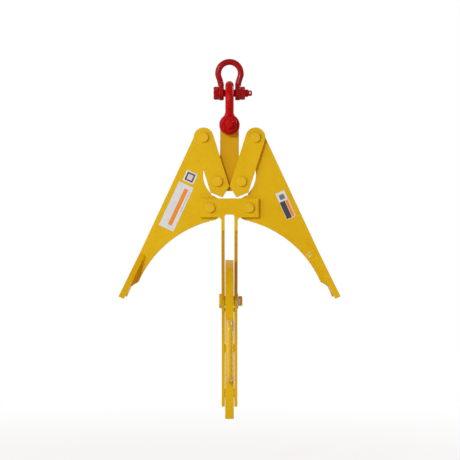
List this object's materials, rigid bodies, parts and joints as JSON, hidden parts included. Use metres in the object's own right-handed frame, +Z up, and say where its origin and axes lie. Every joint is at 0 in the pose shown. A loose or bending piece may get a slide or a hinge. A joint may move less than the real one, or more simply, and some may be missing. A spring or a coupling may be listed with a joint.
{
  "type": "pipe grab",
  "caption": "Self-gripping pipe grab: a linkage presses two feet onto the pipe while a split hook with one swinging jaw holds it, hung from two bow shackles.",
  "frame": {"origin": "on the axis of the carried pipe, in the middle plane of the hooks", "axes": "+X along the pipe to the right of the grab, +Y from the swinging hook at the front towards the fixed double hook at the back, +Z up to the lifting bow"},
  "size_m": [0.6766, 0.7134, 1.0908],
  "materials": {
    "yellow_paint": "semi-gloss paint over steel plate",
    "red_paint": "gloss paint over forged steel",
    "zinc_steel": "zinc plated"
  },
  "bodies": {
    "upper_shackle": {"upper_shackle_bow": "red_paint", "upper_shackle_bolt": "red_paint", "upper_shackle_nut": "red_paint", "upper_shackle_split_pin": "zinc_steel"},
    "lower_shackle": {"lower_shackle_bow": "red_paint", "lower_shackle_bolt": "red_paint", "lower_shackle_nut": "red_paint", "lower_shackle_split_pin": "zinc_steel"},
    "bail_body": {"bail": "yellow_paint"},
    "left_link": {"left_link_front": "yellow_paint", "left_link_rear": "yellow_paint", "left_link_pin_upper": "yellow_paint", "left_link_pin_lower": "yellow_paint", "left_link_washers": "zinc_steel", "left_link_split_pins": "zinc_steel"},
    "right_link": {"right_link_front": "yellow_paint", "right_link_rear": "yellow_paint", "right_link_pin_upper": "yellow_paint", "right_link_pin_lower": "yellow_paint", "right_link_washers": "zinc_steel", "right_link_split_pins": "zinc_steel"},
    "left_arm_body": {"left_arm": "yellow_paint", "left_foot": "yellow_paint"},
    "right_arm_body": {"right_arm": "yellow_paint", "right_foot": "yellow_paint"},
    "yoke": {"yoke_plate_front": "yellow_paint", "yoke_plate_rear": "yellow_paint", "yoke_pin_left": "yellow_paint", "yoke_pin_right": "yellow_paint", "yoke_washers": "zinc_steel", "yoke_split_pins": "zinc_steel", "hook_cheek_left": "yellow_paint", "hook_cheek_right": "yellow_paint", "hook_spacer_upper": "yellow_paint", "hook_spacer_lower": "yellow_paint", "hook_stop_pin": "yellow_paint", "hook_pivot_pin": "yellow_paint", "hook_pivot_washer": "zinc_steel", "hook_pivot_split_pin": "zinc_steel"},
    "swing_hook": {"front_hook": "yellow_paint", "hook_handle": "yellow_paint"}
  },
  "joints": [
    {"name": "lower_shackle_swing", "type": "hinge", "parent": "upper_shackle", "child": "lower_shackle", "pos_m": [0, 0, 0.84275], "axis": [1, 0, 0], "range_deg": [-60, 60]},
    {"name": "bail_swing", "type": "hinge", "parent": "lower_shackle", "child": "bail_body", "pos_m": [0, 0, 0.74375], "axis": [0, 1, 0], "range_deg": [-50, 50]},
    {"name": "left_link_turn", "type": "hinge", "parent": "bail_body", "child": "left_link", "pos_m": [-0.037, 0, 0.56915], "axis": [0, 1, 0], "range_deg": [0, 4.74]},
    {"name": "left_arm_turn", "type": "hinge", "parent": "left_link", "child": "left_arm_body", "pos_m": [-0.08, 0, 0.70501], "axis": [0, -1, 0], "range_deg": [0, 1.74]},
    {"name": "yoke_turn", "type": "hinge", "parent": "left_arm_body", "child": "yoke", "pos_m": [-0.0603, 0, 0.488], "axis": [0, -1, 0], "range_deg": [0, 3]},
    {"name": "right_link_turn", "type": "hinge", "parent": "bail_body", "child": "right_link", "pos_m": [0.037, 0, 0.56915], "axis": [0, -1, 0], "range_deg": [0, 4.74]},
    {"name": "right_arm_turn", "type": "hinge", "parent": "right_link", "child": "right_arm_body", "pos_m": [0.08, 0, 0.70501], "axis": [0, 1, 0], "range_deg": [0, 1.74]},
    {"name": "front_hook_swing", "type": "hinge", "parent": "yoke", "child": "swing_hook", "pos_m": [0, 0.20052, 0.19364], "axis": [-1, 0, 0], "range_deg": [0, 32]}
  ],
  "couplings": [
    {"joint": "left_arm_turn", "follows": "left_link_turn", "ratio": 0.3676},
    {"joint": "yoke_turn", "follows": "left_link_turn", "ratio": 0.6324},
    {"joint": "right_link_turn", "follows": "left_link_turn", "ratio": 1},
    {"joint": "right_arm_turn", "follows": "left_link_turn", "ratio": 0.3676}
  ]
}
